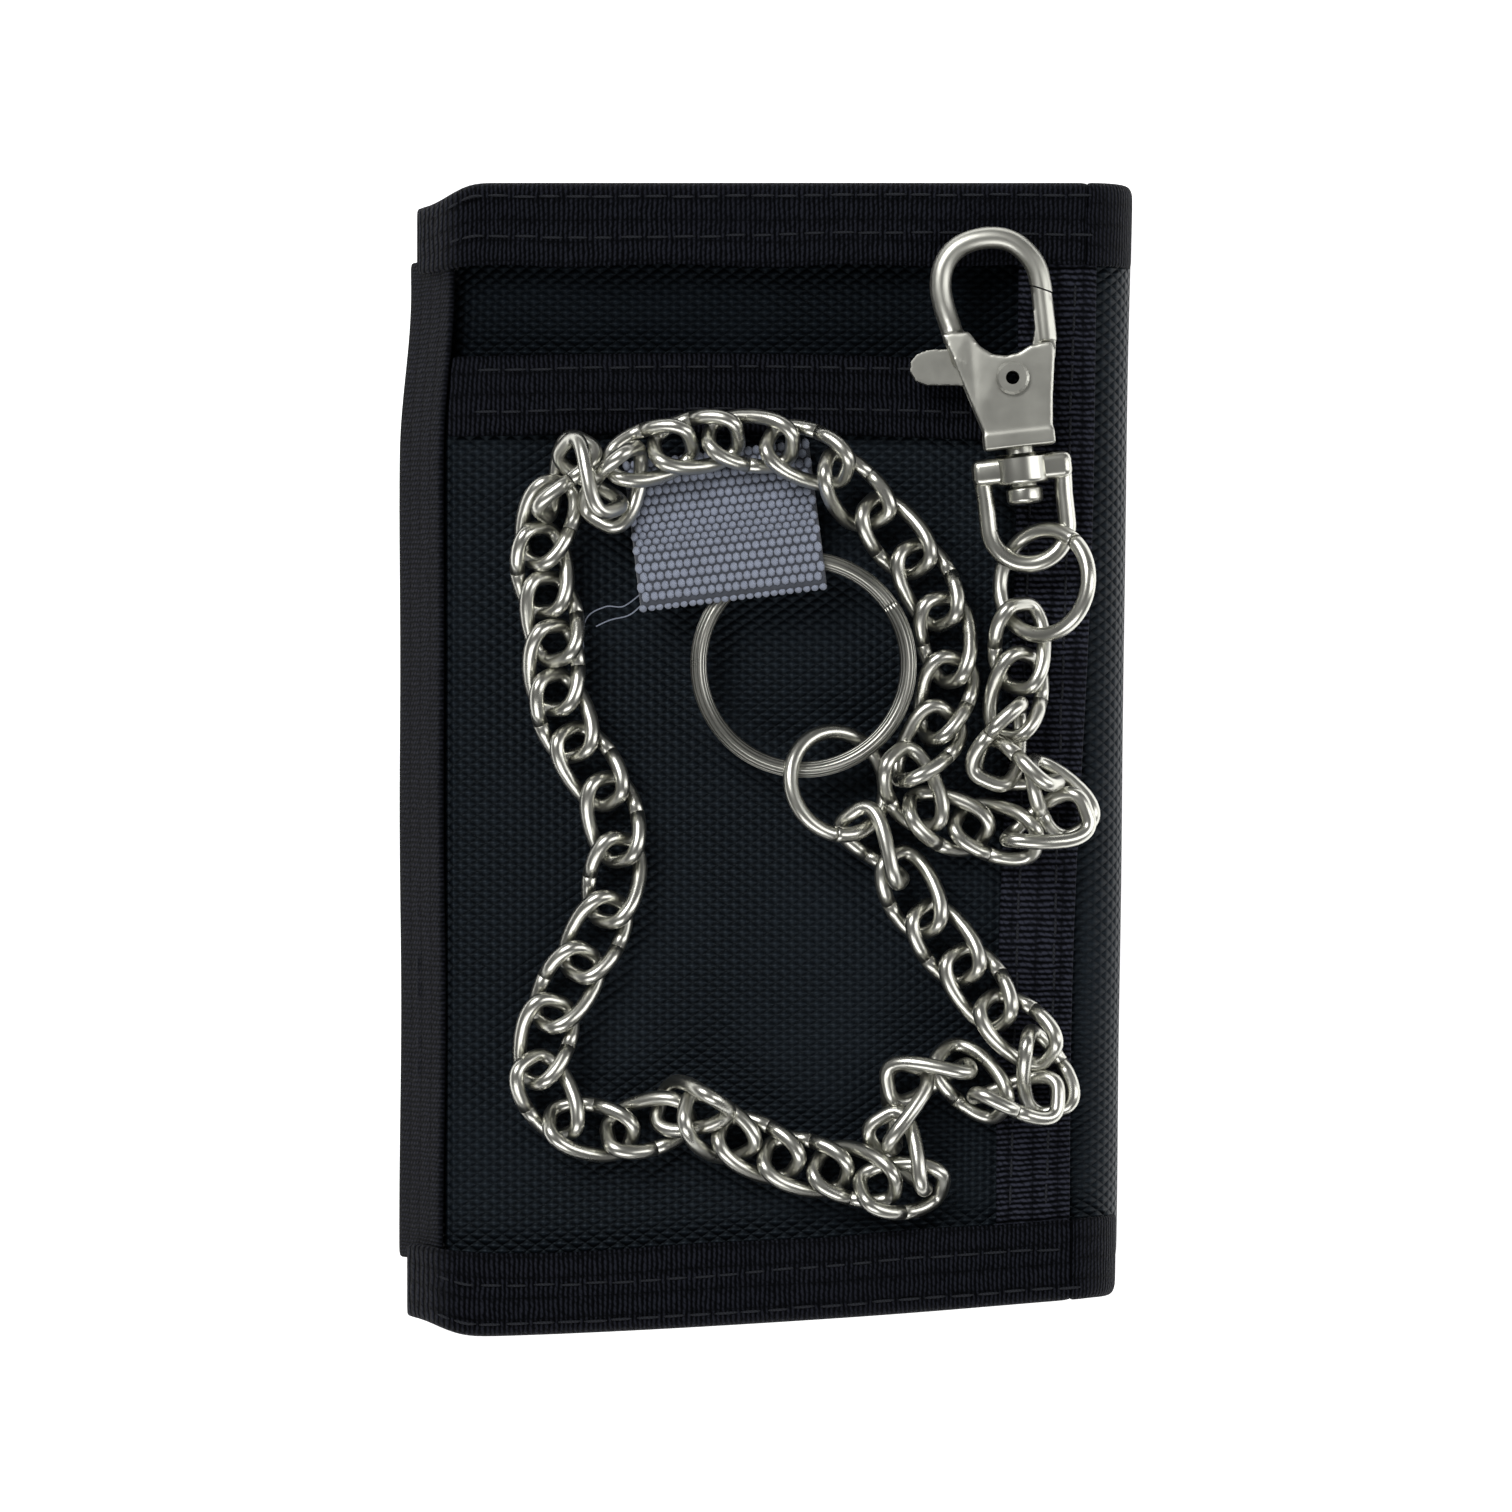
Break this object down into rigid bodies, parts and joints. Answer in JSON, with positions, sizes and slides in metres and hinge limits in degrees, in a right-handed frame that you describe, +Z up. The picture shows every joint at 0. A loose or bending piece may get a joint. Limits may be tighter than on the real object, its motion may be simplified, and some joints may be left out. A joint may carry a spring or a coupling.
{
  "type": "chain wallet",
  "caption": "Folding cloth wallet with bound edges, a front pocket and a key loop whose split ring carries a metal wallet chain ending in a swivel snap clasp.",
  "frame": {"origin": "below the middle of the closed wallet, on the surface it lies on", "axes": "+X from the opening side to the spine, +Y along the spine towards the clasp end, +Z up out of the front flap"},
  "size_m": [0.0818, 0.127, 0.0234],
  "materials": {
    "coated_cloth": "coated, satin",
    "tape": "ribbed, matte",
    "lining": "plain weave",
    "key_loop": "coarse weave",
    "window": "clear film in a frame",
    "plated_steel": "nickel plate, satin"
  },
  "bodies": {
    "back": {"back_shell": "coated_cloth", "bill_divider": "lining", "back_lining": "lining", "card_pocket_1": "lining", "card_pocket_2": "lining", "card_pocket_3": "lining", "hook_patch": "tape", "top_binding_back": "tape", "bottom_binding_back": "tape", "left_binding_back": "tape", "spine_cloth": "coated_cloth"},
    "front_flap": {"flap_shell": "coated_cloth", "flap_lining": "lining", "id_window": "window", "loop_patch": "tape", "front_pocket": "coated_cloth", "pocket_tape": "tape", "side_webbing": "tape", "top_binding_flap": "tape", "bottom_binding_flap": "tape", "left_binding_flap": "tape", "key_tab": "key_loop", "jump_ring_1": "plated_steel", "chain_links_01_02": "plated_steel", "chain_links_03_04": "plated_steel", "chain_links_05_06": "plated_steel", "chain_links_07_08": "plated_steel", "chain_links_09_10": "plated_steel", "chain_links_11_12": "plated_steel", "chain_links_13_14": "plated_steel"},
    "split_ring": {"split_ring": "plated_steel"},
    "chain_run_1": {"chain_links_15_16": "plated_steel", "chain_links_17_18": "plated_steel"},
    "chain_run_2": {"chain_links_19_20": "plated_steel", "chain_links_21_22": "plated_steel", "chain_links_23_24": "plated_steel"},
    "chain_run_3": {"chain_links_25_26": "plated_steel"},
    "chain_run_4": {"chain_links_27_28": "plated_steel"},
    "chain_run_5": {"chain_links_29_30": "plated_steel"},
    "chain_run_6": {"chain_links_31_32": "plated_steel"},
    "chain_run_7": {"chain_links_33_34": "plated_steel"},
    "chain_run_8": {"chain_links_35_36": "plated_steel", "chain_links_37_38": "plated_steel", "chain_links_39_40": "plated_steel", "chain_links_41_42": "plated_steel", "chain_links_43_44": "plated_steel", "chain_links_45_46": "plated_steel", "chain_links_47_48": "plated_steel"},
    "chain_run_9": {"chain_links_49_50": "plated_steel", "chain_links_51_52": "plated_steel", "chain_link_53": "plated_steel"},
    "jump_ring_2": {"jump_ring_2": "plated_steel"},
    "bail": {"clasp_bail": "plated_steel"},
    "clasp": {"clasp_body": "plated_steel", "clasp_rivet": "plated_steel", "latch_spring": "plated_steel"},
    "latch": {"clasp_latch": "plated_steel"}
  },
  "joints": [
    {"name": "flap_hinge", "type": "hinge", "parent": "back", "child": "front_flap", "pos_m": [0.038, 0, 0.0066], "axis": [0, 1, 0], "range_deg": [0, 120], "deforming": ["spine_cloth"]},
    {"name": "split_ring_turn", "type": "hinge", "parent": "front_flap", "child": "split_ring", "pos_m": [0.0042, 0.0104, 0.01708], "axis": [0, 0, 1], "continuous": true},
    {"name": "chain_lift_1", "type": "hinge", "parent": "front_flap", "child": "chain_run_1", "pos_m": [0.00335, -0.04468, 0.01557], "axis": [0.9397, 0.342, 0], "range_deg": [0, 15]},
    {"name": "chain_lift_2", "type": "hinge", "parent": "chain_run_1", "child": "chain_run_2", "pos_m": [-0.01464, -0.04143, 0.01547], "axis": [-0.866, -0.5, 0], "range_deg": [-20, 0]},
    {"name": "chain_lift_3", "type": "hinge", "parent": "chain_run_2", "child": "chain_run_3", "pos_m": [-0.01566, -0.01103, 0.01573], "axis": [0.866, -0.5, 0], "range_deg": [0, 20]},
    {"name": "chain_lift_4", "type": "hinge", "parent": "chain_run_3", "child": "chain_run_4", "pos_m": [-0.02062, 0.00051, 0.01559], "axis": [-0.866, 0.5, 0], "range_deg": [-20, 0]},
    {"name": "chain_lift_5", "type": "hinge", "parent": "chain_run_4", "child": "chain_run_5", "pos_m": [-0.02256, 0.01097, 0.01652], "axis": [0.7071, -0.7071, 0], "range_deg": [0, 20]},
    {"name": "chain_lift_6", "type": "hinge", "parent": "chain_run_5", "child": "chain_run_6", "pos_m": [-0.02531, 0.02164, 0.01571], "axis": [-0.4226, 0.9063, 0], "range_deg": [-20, 0]},
    {"name": "chain_lift_7", "type": "hinge", "parent": "chain_run_6", "child": "chain_run_7", "pos_m": [-0.02188, 0.03445, 0.01815], "axis": [-0.342, -0.9397, 0], "range_deg": [0, 15]},
    {"name": "chain_lift_8", "type": "hinge", "parent": "chain_run_7", "child": "chain_run_8", "pos_m": [-0.01693, 0.03207, 0.01858], "axis": [-0.1736, 0.9848, 0], "range_deg": [-8, 0]},
    {"name": "chain_lift_9", "type": "hinge", "parent": "chain_run_8", "child": "chain_run_9", "pos_m": [0.03462, -0.00766, 0.01593], "axis": [-0.6428, -0.766, 0], "range_deg": [-8, 0]},
    {"name": "jump_ring_lift", "type": "hinge", "parent": "chain_run_9", "child": "jump_ring_2", "pos_m": [0.02685, 0.0154, 0.01697], "axis": [0.5736, -0.8192, 0], "range_deg": [0, 20]},
    {"name": "bail_lift", "type": "hinge", "parent": "jump_ring_2", "child": "bail", "pos_m": [0.0329, 0.0245, 0.0178], "axis": [-0.2588, -0.9659, 0], "range_deg": [-20, 0]},
    {"name": "clasp_swivel", "type": "hinge", "parent": "bail", "child": "clasp", "pos_m": [0.0281, 0.03176, 0.0178], "axis": [-0.1097, 0.994, 0], "range_deg": [-6, 6]},
    {"name": "latch_pivot", "type": "hinge", "parent": "clasp", "child": "latch", "pos_m": [0.027, 0.0417, 0.0178], "axis": [0, 0, 1], "range_deg": [0, 22], "stiffness_Nm_per_rad": 0.05, "springref_deg": -11.46, "deforming": ["latch_spring"]}
  ]
}
